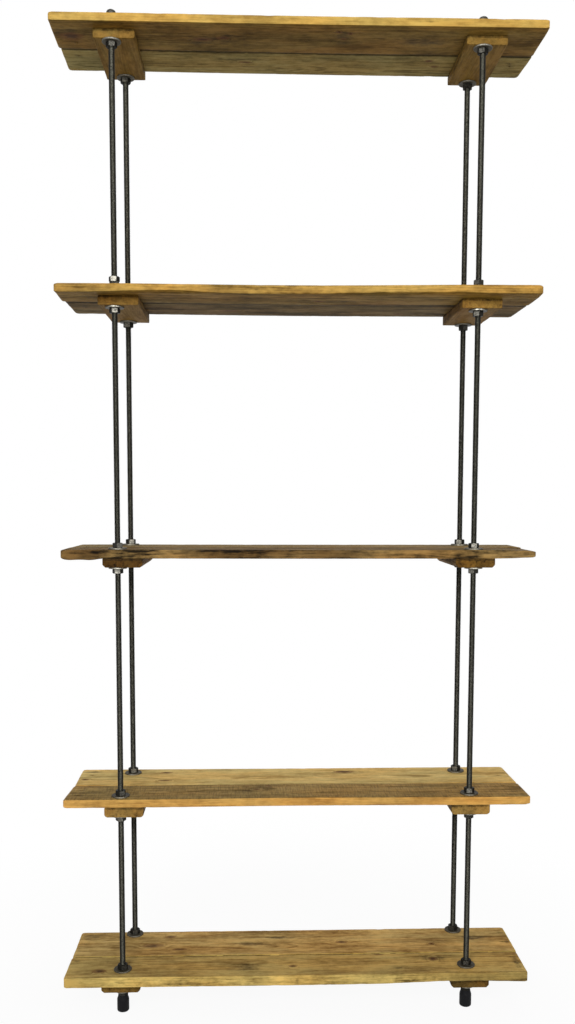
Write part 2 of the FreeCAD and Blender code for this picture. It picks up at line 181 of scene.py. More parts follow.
# How the boards look and where they are worn. Lengths are millimetres, and x and y are places in the frame.
# top, under, edge: light and dark sRGB of the upper face, the under face and the sawn edges. The under face's
# are darker partly for weathering and partly as painted shade.
# ring: width of a growth ring. heart: how far the tree's middle lay from the board's (y, z).
# streaks, patchy, figure, saw_marks: how strongly dirty streaks, blotches, rings and saw lines show.
# shift: metres by which the grain is moved along, so that cleats of one batten differ.
# knots, marks (stains): (x, y, half length, half width). flecks: the same on the front edge, with the
# height from its middle for y. nails: (x, y) of their holes.
# shades: darker stretches of the front edge (x, half length, amount).
# wane: rise of the lower front arris, where the tree's outside was (x, half length, rise).
# sag: how far the board hangs at mid-span. Pairs are for the left or front end and the right or rear end:
# skew: how far out of square it was cut, longer: what was left on, corner: how far its corners are worn
# back, curl: how far the front edge has cupped up, thinned: what has worn off each face.
# planed: width of the flat on a cleat's lower arrises. grime_and_shadow: width of the dirt and painted shadow
# along a plank's seam.
PLAIN_LOOK = {
    "patchy": 1.0, "figure": 1.0, "saw_marks": 0.1, "shift": 0.0, "sag": 0, "planed": 0, "grime_and_shadow": 2.4,
    "skew": (0, 0), "longer": (0, 0), "corner": (0, 0), "curl": (0, 0), "thinned": (0, 0),
    "knots": (), "marks": (), "flecks": (), "nails": (), "shades": (), "wane": ()}

# The planks, by shelf and row.
PLANKS = {
    (1, "front"): {
        "top": ("#C7A65F", "#7B5F30"), "under": ("#89693A", "#503C1E"), "edge": ("#EBC772", "#7A6333"),
        "ring": 3.1, "heart": (14, -46), "sag": 0.8, "skew": (-0.5, 0), "longer": (0, 0.4),
        "corner": (2, 2), "streaks": 0.5, "patchy": 1.4, "figure": 0.8,
        "knots": [(-413, -76, 13, 9), (180, -12, 11, 7), (294, -41, 9, 7), (-8, -64, 8, 5)],
        "marks": [(-104, -66, 26, 16), (470, -60, 8, 26), (296, -38, 30, 15), (220, -80, 18, 5)],
        "flecks": [(-400, -5, 14, 2), (-370, 0, 16, 2), (-350, 6, 12, 2), (-318, -2, 20, 3), (-290, 4, 16, 2),
                   (-262, -4, 24, 2), (-236, 2, 14, 2), (-205, 6, 18, 3), (-180, -4, 20, 2), (-150, 3, 12, 3),
                   (-110, -6, 24, 2), (0, 0, 4, 10), (60, 4, 40, 2), (180, 3, 50, 2), (230, -4, 30, 3),
                   (290, 0, 40, 4), (350, 4, 40, 3), (400, -2, 40, 3)],
        "wane": [(330, 120, 3.5)], "shades": [(405, 125, 1.0), (-450, 60, 0.6)],
        "nails": [(466, -36), (472, -60), (470, -84), (-467, -30)],
    },
    (1, "rear"): {
        "top": ("#CFA964", "#7B5C2E"), "under": ("#8B6B3B", "#523D1F"), "edge": ("#DABB64", "#9A8040"),
        "ring": 2.8, "heart": (-20, -38), "sag": 0.4, "longer": (1, 2), "corner": (1.5, 1.5),
        "streaks": 0.55, "patchy": 1.5, "figure": 0.8,
        "knots": [(-277, 84, 13, 6), (-312, 38, 22, 8), (-253, 20, 16, 5), (105, 47, 12, 6), (304, 33, 6, 5)],
        "marks": [(-455, 88, 26, 16), (-98, 44, 42, 10), (-33, 72, 30, 7), (400, 60, 40, 12),
                  (472, 36, 8, 6)],
        "nails": [(304, 32), (466, 36), (468, 84), (-462, 52)],
    },
    (2, "front"): {
        "top": ("#A7874A", "#6A532B"), "under": ("#87673A", "#503C1F"), "edge": ("#D9A556", "#90652F"),
        "ring": 3.4, "heart": (8, -60), "sag": -1.2, "skew": (-2.5, -1), "longer": (2.7, 0.5),
        "corner": (2, 12), "streaks": 0.55,
        "knots": [(-84, -34, 7, 4), (-60, -8, 6, 4), (-104, -10, 6, 3)],
        "marks": [(478, -30, 24, 5), (470, -56, 20, 4), (-430, -40, 26, 4), (-70, -22, 34, 14),
                  (-104, -44, 14, 5)],
        "nails": [(-452, -30), (-452, -62), (446, -16)], "saw_marks": 1.0,
    },
    (2, "rear"): {
        "top": ("#DDBD75", "#987C45"), "under": ("#8B6C3D", "#533F21"), "edge": ("#D8AA5C", "#A47A3D"),
        "ring": 3.8, "heart": (-10, 52), "sag": 0.4, "skew": (1.5, -0.7), "longer": (1.4, -0.3),
        "corner": (2, 2), "streaks": 0.5,
        "knots": [(-459, 52, 7, 6), (-284, 42, 14, 5), (-285, 103, 12, 6), (112, 100, 22, 7)],
        "marks": [(-452, 110, 26, 9), (112, 100, 34, 9)],
        "nails": [(-459, 50), (-448, 84), (452, 62)],
    },
    (3, "front"): {
        "top": ("#795F2D", "#493617"), "under": ("#87683C", "#513D20"), "edge": ("#9F7D48", "#1B1308"),
        "ring": 2.6, "heart": (30, 22), "sag": 0.4, "skew": (0.5, 0), "longer": (3, 0.4), "corner": (4, 4),
        "thinned": (0, 2.6), "wane": [(-437, 34, -4)], "streaks": 1.1, "patchy": 1.8,
        "knots": [(-160, -70, 22, 12), (60, -40, 10, 8)],
        "flecks": [(-440, 3, 14, 3), (-385, 4, 22, 2), (-300, 5, 50, 3), (-180, 4, 44, 3), (-90, -2, 40, 2),
                   (20, 5, 60, 3), (120, 4, 40, 2), (202, -1, 14, 5), (239, -2, 12, 4), (310, 6, 60, 2),
                   (-20, -5, 50, 2)],
        "shades": [(-440, 50, 1.0), (-110, 120, 1.0), (76, 70, 1.0), (230, 80, 0.15)],
        "nails": [(-440, -60), (-440, -20), (446, -50)],
    },
    (3, "rear"): {
        "top": ("#89703B", "#564121"), "under": ("#8A6B3E", "#533F22"), "edge": ("#9A7D4A", "#554120"),
        "ring": 3.0, "heart": (-24, -40), "sag": 0.3, "skew": (-1, 1), "corner": (3, 2),
        "streaks": 0.8,
        "knots": [(210, 60, 12, 8), (-60, 100, 9, 6)],
        "marks": [(330, 80, 40, 10)],
        "nails": [(-446, 40), (-444, 100), (450, 70)],
    },
    (4, "front"): {
        "top": ("#C4A15B", "#7F6334"), "under": ("#93702B", "#43320F"), "edge": ("#CBA050", "#674C1F"),
        "ring": 3.3, "heart": (-8, 58), "sag": 2.5, "skew": (2.5, 1), "longer": (4, 3.3), "corner": (4, 6),
        "curl": (-2.5, 3), "streaks": 0.6, "patchy": 1.1, "grime_and_shadow": 8,
        "knots": [(40, -60, 10, 7)],
        "marks": [(90, -60, 46, 8)],
        "flecks": [(-380, 0, 2, 7), (-90, -3, 16, 3), (-150, 4, 30, 3), (-20, 4, 20, 3), (210, 4, 30, 2)],
        "wane": [(-275, 105, 3.5), (160, 90, 3), (300, 60, 3)],
        "shades": [(-150, 45, 0.5), (-430, 60, 0.3), (30, 120, 0.15)],
        "nails": [(-420, -84), (-420, -40), (424, -70)],
    },
    (4, "rear"): {
        "top": ("#C6A65D", "#816536"), "under": ("#735925", "#32250D"), "edge": ("#BF954F", "#76572A"),
        "ring": 2.9, "heart": (16, 44), "sag": 1.0, "skew": (0.6, 0), "longer": (0, -0.6), "corner": (2, 3),
        "streaks": 0.9, "patchy": 1.5, "grime_and_shadow": 8,
        "knots": [(-141, 62, 18, 8), (220, 84, 10, 6)],
        "marks": [(-135, 100, 34, 6), (260, 30, 60, 5)],
        "nails": [(-440, 40), (436, 60)],
    },
    (5, "front"): {
        "top": ("#CEA95F", "#876A38"), "under": ("#896A2F", "#423112"), "edge": ("#D0AB59", "#8A692F"),
        "ring": 3.5, "heart": (-26, 60), "sag": 0.8, "skew": (1.3, 0), "longer": (4.1, 3.6),
        "corner": (2, 2), "curl": (0, 2.6), "streaks": 0.35, "patchy": 1.3, "figure": 0.6,
        "knots": [(-446, -46, 22, 15), (-190, -44, 16, 7), (-150, -52, 12, 6), (75, -87, 5, 4),
                  (98, -80, 5, 4), (86, -58, 6, 4)],
        "marks": [(-173, -46, 60, 16), (-200, -30, 30, 8), (-140, -60, 24, 8), (-450, -62, 30, 18),
                  (86, -70, 22, 18), (86, -40, 18, 6), (240, -50, 60, 18)],
        "flecks": [(110, 6, 4, 3), (-350, 1, 12, 2), (70, -6, 7, 2), (250, 2, 20, 2)],
        "shades": [(-72, 30, 0.35), (300, 60, 0.2)],
        "nails": [(75, -88), (98, -80), (-440, -18)],
    },
    (5, "rear"): {
        "top": ("#D0AC63", "#8C6E3C"), "under": ("#A69157", "#5E512C"), "edge": ("#CDA858", "#957337"),
        "ring": 3.2, "heart": (22, -50), "sag": 0.4, "skew": (1, -1.8), "longer": (1.2, 3.5),
        "corner": (2, 2), "streaks": 0.5,
        "knots": [(-109, 56, 14, 4), (272, 36, 9, 5), (287, 62, 8, 4)],
        "marks": [(-109, 42, 60, 3), (-118, 58, 44, 3), (-100, 78, 26, 3), (272, 36, 16, 7),
                  (287, 62, 14, 6)],
        "nails": [(440, 42), (443, 56), (-446, 40)],
    },
}

# The cleats, by shelf. The two under one shelf are cut from one batten, so they share a finish.
CLEATS = {
    1: {"top": ("#A07C44", "#6F532C"), "under": ("#7C5C2D", "#4E3A19"), "edge": ("#886930", "#423013"),
        "ring": 2.6, "heart": (12, -30), "streaks": 0.6, "planed": 6, "shades": [(364, 60, 0.7)]},
    2: {"top": ("#AE8C52", "#7A5E34"), "under": ("#886937", "#564220"), "edge": ("#AB8544", "#5A4320"),
        "ring": 3.0, "heart": (-8, 26), "streaks": 0.6, "planed": 5, "shades": [(-356, 60, 0.3)]},
    3: {"top": ("#A57F40", "#6B4E26"), "under": ("#7D5F2C", "#4C3818"), "edge": ("#795720", "#261806"),
        "ring": 2.4, "heart": (10, 22), "streaks": 0.9, "planed": 6, "shades": [(-353, 60, 1.0)]},
    4: {"top": ("#A88448", "#70542C"), "under": ("#836025", "#493411"), "edge": ("#A57C37", "#483316"),
        "ring": 2.5, "heart": (-14, 30), "streaks": 0.35, "figure": 0.4, "shades": [(-355, 60, 0.5)]},
    5: {"top": ("#B08C50", "#7A5C34"), "under": ("#84672C", "#493713"), "edge": ("#937437", "#503C19"),
        "ring": 2.8, "heart": (16, 28), "streaks": 0.3, "figure": 0.4},
}


# ---------------------------------------------------------------------------------------------------
# Materials
# ---------------------------------------------------------------------------------------------------

def add_node(tree, kind, sockets=None, out=None, **settings):
    """Add a node, set its properties, and fill or link its sockets.

    Returns the output called out, or else the first one that the settings leave in use.
    """
    node = tree.nodes.new("ShaderNode" + kind)
    for name, value in settings.items():
        setattr(node, name, value)
    for key, value in (sockets or {}).items():
        if isinstance(value, bpy.types.NodeSocket):
            tree.links.new(value, node.inputs[key])
        else:
            node.inputs[key].default_value = value
    if out:
        return node.outputs[out]
    return next((socket for socket in node.outputs if socket.enabled), None)


def new_material(name):
    """An empty node material, and add_node for its tree."""
    material = bpy.data.materials.new(name)
    material.use_nodes = True
    material.node_tree.nodes.clear()
    return material, partial(add_node, material.node_tree)


def make_softwood(name, look, middle, along):
    """Reclaimed pine from pallets: growth rings round the tree's heart, knots, grey old faces and bright
    sawn edges, oiled to a dull satin. along is the axis that the grain follows, middle the board's middle.
    """
    material, add = new_material(name)
    centred = add("VectorMath", {0: add("TexCoord", out="Object"), 1: tuple(middle)}, operation="SUBTRACT")
    heart_y, heart_z = look["heart"]
    grain = add("Mapping", {
        "Vector": centred, "Rotation": (0, 0, 0 if along == "x" else math.radians(90)),
        "Location": (look["shift"], -heart_y * MM, -heart_z * MM)})
    wear_and_shade = {part: add("Attribute", out="Fac", attribute_name=part)
            for part in ("fresh", "beneath", "knot", "mark", "shade")}

    # The trunk wasn't straight: its rings drift sideways by up to 17 mm over half a metre or so.
    slow = add("Mapping", {"Vector": grain, "Scale": (2.4, 9.0, 9.0)})
    drift = add("TexNoise", {"Vector": slow, "Scale": 1.0, "Detail": 1.5}, out="Color")
    off_centre = add("VectorMath", {0: drift, 1: (0.5, 0.5, 0.5)}, operation="SUBTRACT")
    trunk = add("VectorMath", {0: off_centre, 1: (0.0, 0.034, 0.034), 2: grain}, operation="MULTIPLY_ADD")
    across = add("VectorMath", {0: trunk, 1: (0, 1, 1)}, operation="MULTIPLY")
    radius = add("VectorMath", {0: across}, operation="LENGTH")

    # Grain bends round a knot, so a knot adds to the ring count near it. Late wood ends each ring sharply,
    # years differ, and the rings are fainter where the saw cut across them.
    count = add("Math", {0: radius, 1: 1 / (look["ring"] * MM)}, operation="MULTIPLY")
    bent = add("Math", {0: wear_and_shade["knot"], 1: 4.5, 2: count}, operation="MULTIPLY_ADD")
    phase = add("Math", {0: bent}, operation="FRACT")
    rise = add("MapRange", {
        "Value": phase, "From Min": 0.35, "From Max": 0.9}, interpolation_type="SMOOTHSTEP")
    fall = add("MapRange", {"Value": phase, "From Min": 0.9, "From Max": 1.0, "To Min": 1.0, "To Max": 0.0})
    late_wood = add("Math", {0: rise, 1: fall}, operation="MULTIPLY")
    year = add("TexNoise", {"W": bent, "Scale": 0.7, "Detail": 1.0}, noise_dimensions="1D")
    ring_tone = add("Math", {0: late_wood, 1: year}, operation="MULTIPLY")
    figure = look["figure"]
    calm = add("Math", {0: wear_and_shade["fresh"], 1: -0.7 * figure, 2: figure}, operation="MULTIPLY_ADD")
    rings = add("Math", {0: ring_tone, 1: calm}, operation="MULTIPLY")

    # Noise drawn out along the grain, by features per metre lengthwise and crosswise. Fibres are a third of
    # a millimetre wide and too fine to show, so they are drawn in 3 mm bundles. Streaks of resin and dirt
    # are 11 mm wide, mottling is 19 by 10 mm, patches are 45 mm wide and bands of heartwood 59 mm. The saw's
    # teeth left lines across, 3 mm apart.
    noises = {}
    for part, field, shift, lengthwise, crosswise, detail, roughness, distortion in (
            ("fibre", grain, (0, 0, 0), 14, 330, 3.0, 0.65, 0.0),
            ("streak", trunk, (0, 0, 0), 6.5, 95, 5.0, 0.66, 0.35),
            ("mottle", grain, (0, 0, 0), 52, 105, 3.0, 0.7, 0.0),
            ("patch", grain, (0, 0, 0), 7, 22, 4.0, 0.6, 0.0),
            ("heartwood", trunk, (3.1, 0.7, 0.2), 4.2, 17, 4.0, 0.6, 0.0),
            ("tooth", grain, (0, 0, 0), 330, 30, 3.0, 0.6, 0.0)):
        stretched = add("Mapping", {
            "Vector": field, "Location": shift, "Scale": (lengthwise, crosswise, crosswise)})
        noises[part] = add("TexNoise", {
            "Vector": stretched, "Scale": 1.0, "Detail": detail, "Roughness": roughness,
            "Distortion": distortion})

    # One tone, from 0, the light colour of a face, to 1, its dark colour.
    patchy = look["patchy"]
    dirty = add("MapRange", {
        "Value": noises["streak"], "From Min": 0.46, "From Max": 0.74, "To Max": look["streaks"]},
        interpolation_type="SMOOTHSTEP")
    fibre_tone = add("MapRange", {
        "Value": noises["fibre"], "From Min": 0.3, "From Max": 0.75, "To Max": 0.45})
    patch_tone = add("MapRange", {
        "Value": noises["patch"], "From Min": 0.32, "From Max": 0.68, "To Min": -0.25 * patchy,
        "To Max": 0.35 * patchy})
    mottle_tone = add("MapRange", {
        "Value": noises["mottle"], "From Min": 0.3, "From Max": 0.7, "To Min": -0.24, "To Max": 0.24})
    with_rings = add("Math", {0: rings, 1: 0.8, 2: fibre_tone}, operation="MULTIPLY_ADD")
    with_streaks = add("Math", {0: dirty, 1: 0.8, 2: with_rings}, operation="MULTIPLY_ADD")
    with_patches = add("Math", {0: with_streaks, 1: patch_tone}, operation="ADD")
    tone = add("Math", {0: with_patches, 1: mottle_tone}, operation="ADD", use_clamp=True)

    # Old faces are grey-brown, the edges were sawn afresh; both wear through at the arrises. The under face's
    # darker colour is partly weathering and partly painted shade.
    blends = {}
    for part in ("top", "under", "edge"):
        light, dark = (rgba(hex_colour(code)) for code in look[part])
        blends[part] = add("Mix", {"Factor": tone, "A": light, "B": dark}, data_type="RGBA")
    faces = add("Mix", {
        "Factor": wear_and_shade["beneath"], "A": blends["top"], "B": blends["under"]}, data_type="RGBA")
    ragged = add("Math", {0: noises["streak"], 1: 0.9, 2: wear_and_shade["fresh"]}, operation="MULTIPLY_ADD")
    sawn = add("MapRange", {
        "Value": ragged, "From Min": 0.78, "From Max": 1.02}, interpolation_type="SMOOTHSTEP")
    wood = add("Mix", {"Factor": sawn, "A": faces, "B": blends["edge"]}, data_type="RGBA")

    # Heartwood is warmer than sapwood, which years outdoors have turned a little green.
    warm = add("MapRange", {
        "Value": noises["heartwood"], "From Min": 0.36, "From Max": 0.64}, interpolation_type="SMOOTHSTEP")
    cast = add("Mix", {
        "Factor": warm, "A": (0.95, 1.015, 1.08, 1.0), "B": (1.06, 0.985, 0.89, 1.0)}, data_type="RGBA")
    hued = add("Mix", {"Factor": 1.0, "A": wood, "B": cast}, data_type="RGBA", blend_type="MULTIPLY")
    darker = add("Mix", {
        "Factor": 1.0, "A": hued, "B": (0.5, 0.48, 0.46, 1.0)}, data_type="RGBA", blend_type="MULTIPLY")
    shaded = add("Mix", {"Factor": wear_and_shade["shade"], "A": hued, "B": darker}, data_type="RGBA")

    on_faces = add("Math", {0: 1.0, 1: sawn}, operation="SUBTRACT", use_clamp=True)
    band = add("MapRange", {
        "Value": noises["tooth"], "From Min": 0.42, "From Max": 0.7, "To Max": 0.5 * look["saw_marks"]})
    saw_tone = add("Math", {0: band, 1: on_faces}, operation="MULTIPLY")
    colour = add("Mix", {"Factor": saw_tone, "A": shaded, "B": rgba(hex_colour("#3A2A12"))}, data_type="RGBA")

    # Grey-black weather stains, rust round old nails and the joints' dirt and painted shadow, broken up along
    # the fibres. Then the knots, each a red-brown ring round a dark heart.
    broken = add("Math", {0: noises["mottle"], 1: 1.1, 2: noises["streak"]}, operation="MULTIPLY_ADD")
    darkened = add("Math", {0: wear_and_shade["mark"], 1: broken}, operation="ADD")
    eye = add("Math", {0: broken, 1: 0.45, 2: wear_and_shade["knot"]}, operation="MULTIPLY_ADD")
    for field, begins, full, cover, code in (
            (darkened, 1.3, 2.15, 0.72, "#20190B"), (eye, 0.7, 1.1, 0.65, "#6A4321"),
            (eye, 1.1, 1.42, 0.72, "#301C0E")):
        amount = add("MapRange", {
            "Value": field, "From Min": begins, "From Max": full, "To Max": cover},
            interpolation_type="SMOOTHSTEP")
        colour = add("Mix", {"Factor": amount, "A": colour, "B": rgba(hex_colour(code))}, data_type="RGBA")

    relief = add("Math", {0: tone, 1: saw_tone}, operation="ADD")
    bump = add("Bump", {"Height": relief, "Strength": 0.5, "Distance": 0.7 * MM}, invert=True)
    satin = add("MapRange", {"Value": tone, "To Min": 0.6, "To Max": 0.8})
    surface = add("BsdfPrincipled", {
        "Base Color": colour, "Roughness": satin, "IOR": 1.48, "Specular IOR Level": 0.1, "Normal": bump})
    add("OutputMaterial", {"Surface": surface})
    return material


def make_steel(name, colour, roughness, tightness, gain, spread, dirt=0.0, film="#241F16"):
    """Turned or stamped steel with a thin film of oil: even, dark grey, dirt gathered in its grooves.

    A glint is painted into the base colour of the faces turned to the eye: tightness is how square to it
    they have to be, gain how bright the painted glint is, and spread how much of the colour every other face
    keeps, a painted reflection. dirt is how thickly the film lies where the groove attribute says so.
    """
    material, add = new_material(name)
    place = add("TexCoord", out="Object")
    # Oil spots of two millimetres, and clouds of an inch.
    speckle = add("TexNoise", {"Vector": place, "Scale": 420.0, "Detail": 3.0, "Roughness": 0.6})
    cloud = add("TexNoise", {"Vector": place, "Scale": 38.0, "Detail": 3.0})
    groove = add("Attribute", out="Fac", attribute_name="groove")
    gathered = add("Math", {0: groove, 1: cloud}, operation="MULTIPLY")
    filmed = add("Math", {0: gathered, 1: dirt * 1.7}, operation="MULTIPLY", use_clamp=True)
    mottle = add("MapRange", {"Value": cloud, "From Min": 0.3, "From Max": 0.7, "To Min": 0.8, "To Max": 1.1})
    metal = add("Mix", {
        "Factor": 1.0, "A": rgba(colour), "B": mottle}, data_type="RGBA", blend_type="MULTIPLY")
    darkened = add("Mix", {"Factor": filmed, "A": metal, "B": rgba(hex_colour(film))}, data_type="RGBA")

    # Painted glint: the colour is multiplied up on faces turned to the eye, and by spread, a painted
    # reflection, on all others.
    turned = add("LayerWeight", {"Blend": 0.5}, out="Facing")
    squarely = add("Math", {0: 1.0, 1: turned}, operation="SUBTRACT", use_clamp=True)
    lobe = add("Math", {0: squarely, 1: tightness}, operation="POWER")
    # Oil spots break the painted glint up, and from 0.8 m down to the floor painted shade dims it more and
    # more.
    spark = add("MapRange", {
        "Value": speckle, "From Min": 0.35, "From Max": 0.65, "To Min": 0.25 * gain, "To Max": 1.75 * gain})
    height = add("SeparateXYZ", {0: place}, out="Z")
    painted_fade_low_down = add("MapRange", {
        "Value": height, "From Min": 0.15, "From Max": 0.8, "To Min": 0.5, "To Max": 1.0})
    faded_spark = add("Math", {0: spark, 1: painted_fade_low_down}, operation="MULTIPLY")
    painted_glint = add("Math", {0: lobe, 1: faded_spark, 2: spread}, operation="MULTIPLY_ADD")
    base = add("Mix", {"Factor": 1.0, "A": darkened, "B": painted_glint}, data_type="RGBA", blend_type="MULTIPLY")

    rough = add("MapRange", {
        "Value": speckle, "From Min": 0.3, "From Max": 0.7, "To Min": roughness - 0.06,
        "To Max": roughness + 0.12})
    bump = add("Bump", {"Height": speckle, "Strength": 0.25, "Distance": 0.08 * MM})
    surface = add("BsdfPrincipled", {
        "Base Color": base, "Metallic": 0.25, "Roughness": rough, "Specular IOR Level": 0.05,
        "Specular Tint": (0.2, 0.2, 0.2, 1.0), "Normal": bump})
    add("OutputMaterial", {"Surface": surface})
    return material


def make_rubber(colour):
    """Black moulded rubber: matt, with centimetre patches of dust over the mould's millimetre grain."""
    material, add = new_material("moulded_rubber")
    place = add("TexCoord", out="Object")
    grain = add("TexNoise", {"Vector": place, "Scale": 900.0, "Detail": 2.0})
    dust = add("TexNoise", {"Vector": place, "Scale": 90.0, "Detail": 4.0})
    dusty = add("MapRange", {"Value": dust, "From Min": 0.5, "From Max": 0.8, "To Max": 0.3})
    base = add("Mix", {
        "Factor": dusty, "A": rgba(colour), "B": rgba(hex_colour("#2A2A29"))}, data_type="RGBA")
    bump = add("Bump", {"Height": grain, "Strength": 0.3, "Distance": 0.1 * MM})
    surface = add("BsdfPrincipled", {
        "Base Color": base, "Roughness": 0.62, "IOR": 1.52, "Specular IOR Level": 0.12, "Normal": bump})
    add("OutputMaterial", {"Surface": surface})
    return material


def white_to_the_eye(add):
    """1 for rays that see the background by eye, in a mirror or through glass, 0 for light that it sheds."""
    rays = add("LightPath").node.outputs
    seen = add("Math", {0: rays["Is Camera Ray"], 1: rays["Is Glossy Ray"]}, operation="MAXIMUM")
    return add("Math", {0: seen, 1: rays["Is Transmission Ray"]}, operation="MAXIMUM")


def make_floor_paint(colour, haze, clear_from, clear_to):
    """Matt white paint that runs out into the plain background away from the unit, between two distances
    from its middle. haze is how far it is already the background's white beside the unit, where its own
    shadow still shows.
    """
    material, add = new_material("matt_white_floor")
    away = add("VectorMath", {0: add("TexCoord", out="Object")}, operation="LENGTH")
    fade = add("MapRange", {
        "Value": away, "From Min": clear_from, "From Max": clear_to, "To Min": haze},
        interpolation_type="SMOOTHSTEP")
    factor = add("Math", {0: fade, 1: white_to_the_eye(add)}, operation="MULTIPLY")
    paint = add("BsdfDiffuse", {"Color": rgba(colour)})
    glow = add("Emission", {"Color": (1, 1, 1, 1), "Strength": 1.0})
    surface = add("MixShader", {0: factor, 1: paint, 2: glow})
    add("OutputMaterial", {"Surface": surface})
    return material


# ---------------------------------------------------------------------------------------------------
# Pieces
# ---------------------------------------------------------------------------------------------------

def new_piece(name, bm):
    """Turn a bmesh into an object at the origin."""
    mesh = bpy.data.meshes.new(name)
    bm.to_mesh(mesh)
    bm.free()
    piece = bpy.data.objects.new(name, mesh)
    bpy.context.scene.collection.objects.link(piece)
    return piece


def dress(piece, material, body, node, sharp_angle=35):
    """Shade a piece, give it its finish, hang it on its body, and hide the CAD node that it takes the place
    of.
    """
    piece.data.shade_smooth()
    piece.data.set_sharp_from_angle(angle=math.radians(sharp_angle))
    piece.data.materials.clear()
    piece.data.materials.append(material)
    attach(piece, body)
    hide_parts(node)


def paint(piece, name, values):
    """Store a number for every point of a piece, for its material to read."""
    layer = piece.data.attributes.new(name, "FLOAT", "POINT")
    layer.data.foreach_set("value", np.ascontiguousarray(values, np.float32))


def ramp(values, start, width):
    """0 up to a start, and 1 from a width beyond it."""
    return np.clip((values - start) / width, 0, 1)


def lathe(bm, profile, steps):
    """Spin a closed profile of (radius, height) points round the Z axis."""
    verts = [bm.verts.new((radius, 0, height)) for radius, height in profile]
    edges = [bm.edges.new(pair) for pair in zip(verts, verts[1:] + verts[:1])]
    bmesh.ops.spin(bm, geom=verts + edges, cent=(0, 0, 0), axis=(0, 0, 1), angle=2 * math.pi,
                   steps=steps, use_merge=True, use_duplicate=False)
    bmesh.ops.remove_doubles(bm, verts=bm.verts[:], dist=1e-6)
    loose = [edge for edge in bm.edges if not edge.link_faces]
    bmesh.ops.delete(bm, geom=loose, context="EDGES")
    bmesh.ops.recalc_face_normals(bm, faces=bm.faces[:])


def mill_flats(bm, across, turn):
    """Cut six flats on a turned blank."""
    for side in range(6):
        angle = turn + math.radians(60 * side + 30)
        outward = Vector((math.cos(angle), math.sin(angle), 0))
        cut = bmesh.ops.bisect_plane(
            bm, geom=bm.verts[:] + bm.edges[:] + bm.faces[:], dist=1e-7,
            plane_co=outward * across / 2, plane_no=outward, clear_outer=True)
        rim = [item for item in cut["geom_cut"] if isinstance(item, bmesh.types.BMEdge)]
        bmesh.ops.edgeloop_fill(bm, edges=rim)
    bmesh.ops.recalc_face_normals(bm, faces=bm.faces[:])


def solids_of(node):
    """The points of each separate solid in a CAD node, lowest first."""
    bm = bmesh.new()
    bm.from_mesh(frame["nodes"][node].data)
    bmesh.ops.remove_doubles(bm, verts=bm.verts[:], dist=1e-6)
    left = set(bm.verts)
    solids = []
    while left:
        seed = left.pop()
        group, front = {seed}, [seed]
        while front:
            vert = front.pop()
            for edge in vert.link_edges:
                other = edge.other_vert(vert)
                if other not in group:
                    group.add(other)
                    front.append(other)
        left -= group
        solids.append(np.array([vert.co for vert in group]))
    bm.free()
    return sorted(solids, key=lambda points: tuple(points.min(0)[::-1].round(4)))


def box_of(points):
    """Lowest and highest corner, and the middle between them."""
    low, high = Vector(points.min(0)), Vector(points.max(0))
    return low, high, (low + high) / 2


def size_of(points):
    """The radius and the height of a round solid."""
    low, high, _ = box_of(points)
    return (high.x - low.x) / 2, high.z - low.z


def corner_angle(points):
    """The angle of one corner of a CAD nut, so that the detailed nut takes its place."""
    centre = box_of(points)[2]
    out = points[:, :2] - centre[:2]
    corner = out[np.hypot(*out.T).argmax()]
    return math.atan2(corner[1], corner[0])


def put_in_place(node, make_blank):
    """Make one blank for each solid of a CAD node, and gather them where the solids are."""
    bm = bmesh.new()
    for points in solids_of(node):
        low, _, middle = box_of(points)
        blank = make_blank(points)
        mesh = bpy.data.meshes.new("blank")
        blank.to_mesh(mesh)
        blank.free()
        mesh.transform(Matrix.Translation((middle.x, middle.y, low.z)))
        bm.from_mesh(mesh)
        bpy.data.meshes.remove(mesh)
    return bm


# A nut's bore clears the thread's crests by 0.05 mm, and its mouth is countersunk. Its blank is turned a
# little wider than its corners, with faces a little narrower than its flats.
NUT_BORE = 6.05 * MM
COUNTERSINK = 0.55 * MM
BLANK_OVER_CORNERS = 1.02
FACE_OVER_FLATS = 0.96
NUT_STEPS = 96


def hex_outline(sizes):
    """For a nut: the turned blank's radius, its face's radius inside the chamfer, and the chamfer's drop."""
    corner = sizes.nut_flats / math.sqrt(3) * BLANK_OVER_CORNERS
    face = sizes.nut_flats / 2 * FACE_OVER_FLATS
    return corner, face, (corner - face) * math.tan(sizes.nut_chamfer)


def make_nut_blank(sizes, points):
    """A hex nut: turned with its corner chamfers and countersunk bore, then milled to six flats."""
    corner, face, drop = hex_outline(sizes)
    mouth = NUT_BORE + COUNTERSINK
    height = size_of(points)[1]
    bm = bmesh.new()
    lathe(bm, [
        (NUT_BORE, COUNTERSINK), (mouth, 0), (face, 0), (corner, drop), (corner, height - drop),
        (face, height), (mouth, height), (NUT_BORE, height - COUNTERSINK)], NUT_STEPS)
    mill_flats(bm, sizes.nut_flats, corner_angle(points))
    return bm


def make_cap_nut_blank(sizes, points):
    """A domed cap nut: the same hexagon under a wide, low, drawn dome, with a blind bore."""
    bore_depth, drill_point, hex_height = 16 * MM, 2 * MM, 10 * MM
    dome, rise, arc_steps = 9.3 * MM, 6.5 * MM, 14
    corner, face, drop = hex_outline(sizes)
    height = size_of(points)[1]
    arc = [(dome * math.cos(a), height - rise + rise * math.sin(a))
           for a in (math.radians(90 * i / arc_steps) for i in range(arc_steps))]
    bm = bmesh.new()
    lathe(bm, [
        (0, bore_depth), (NUT_BORE, bore_depth - drill_point), (NUT_BORE, COUNTERSINK),
        (NUT_BORE + COUNTERSINK, 0), (face, 0), (corner, drop), (corner, hex_height - drop),
        (face, hex_height), (dome, hex_height), *arc, (0, height)], NUT_STEPS)
    mill_flats(bm, sizes.nut_flats, corner_angle(points))
    return bm


